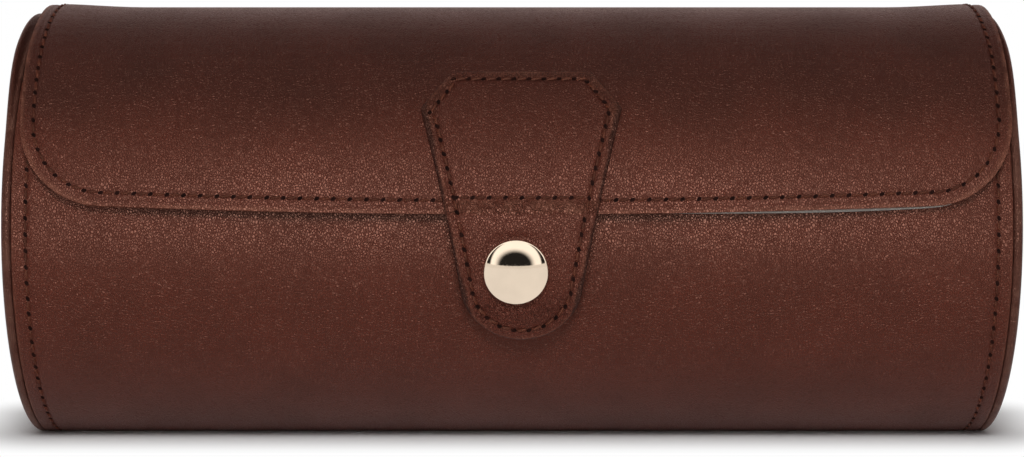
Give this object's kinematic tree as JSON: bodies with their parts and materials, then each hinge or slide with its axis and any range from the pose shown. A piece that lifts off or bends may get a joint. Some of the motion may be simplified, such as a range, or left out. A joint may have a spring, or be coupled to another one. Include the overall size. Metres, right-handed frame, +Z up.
{
  "type": "watch travel case",
  "caption": "Lying leather-covered cylinder with stitched ends, a wrap-over hinged lid closed by a shield-shaped tab with a domed magnetic snap, and padded watch pillows inside.",
  "frame": {"origin": "centre of the flat that the case rests on", "axes": "+X along the case to its right end, -Y to the front where the tab closes, +Z up"},
  "size_m": [0.207, 0.0986, 0.0923],
  "materials": {
    "case_leather": "fine pebbled grain, satin",
    "edge_leather": "fine grain, satin",
    "lining_suede": "soft suede nap",
    "pillow_suede": "soft suede nap",
    "pillow_foam": "open-cell foam",
    "stiff_board": "grey-brown board",
    "cap_gold": "polished pale gold plate",
    "snap_steel": "nickel plated",
    "magnet_dark": "plated magnet"
  },
  "bodies": {
    "body": {"body_leather": "case_leather", "body_board": "stiff_board", "body_lining": "lining_suede", "end_leather_left": "edge_leather", "end_leather_right": "edge_leather", "end_board_left": "stiff_board", "end_board_right": "stiff_board", "end_lining_left": "lining_suede", "end_lining_right": "lining_suede", "divider_board_left": "stiff_board", "divider_board_right": "stiff_board", "divider_cover_left": "lining_suede", "divider_cover_right": "lining_suede", "striker_plate": "snap_steel", "striker_rivet": "snap_steel", "striker_washer": "snap_steel", "hinge_strip": "case_leather"},
    "lid": {"lid_leather": "case_leather", "lid_board": "stiff_board", "lid_lining": "lining_suede", "tab_anchor": "case_leather"},
    "tab": {"tab_strap": "case_leather", "tab_backing": "edge_leather", "snap_cap": "cap_gold", "cap_rivet": "snap_steel", "magnet_cup": "snap_steel", "magnet": "magnet_dark"},
    "pillow_left": {"pillow_wrap_left": "pillow_suede", "pillow_ends_left": "pillow_suede", "pillow_core_left": "pillow_foam"},
    "pillow_middle": {"pillow_wrap_middle": "pillow_suede", "pillow_ends_middle": "pillow_suede", "pillow_core_middle": "pillow_foam"},
    "pillow_right": {"pillow_wrap_right": "pillow_suede", "pillow_ends_right": "pillow_suede", "pillow_core_right": "pillow_foam"}
  },
  "joints": [
    {"name": "lid_hinge", "type": "hinge", "parent": "body", "child": "lid", "pos_m": [0, 0.03359, 0.07877], "axis": [-1, 0, 0], "range_deg": [0, 150]},
    {"name": "tab_flex", "type": "hinge", "parent": "lid", "child": "tab", "pos_m": [0, -0.0492, 0.05134], "axis": [-1, 0, 0], "range_deg": [0, 90], "stiffness_Nm_per_rad": 0.01},
    {"name": "pillow_left_lift", "type": "slide", "parent": "body", "child": "pillow_left", "axis": [0, 0, 1], "range_m": [0, 0.028]},
    {"name": "pillow_middle_lift", "type": "slide", "parent": "body", "child": "pillow_middle", "axis": [0, 0, 1], "range_m": [0, 0.028]},
    {"name": "pillow_right_lift", "type": "slide", "parent": "body", "child": "pillow_right", "axis": [0, 0, 1], "range_m": [0, 0.028]}
  ]
}
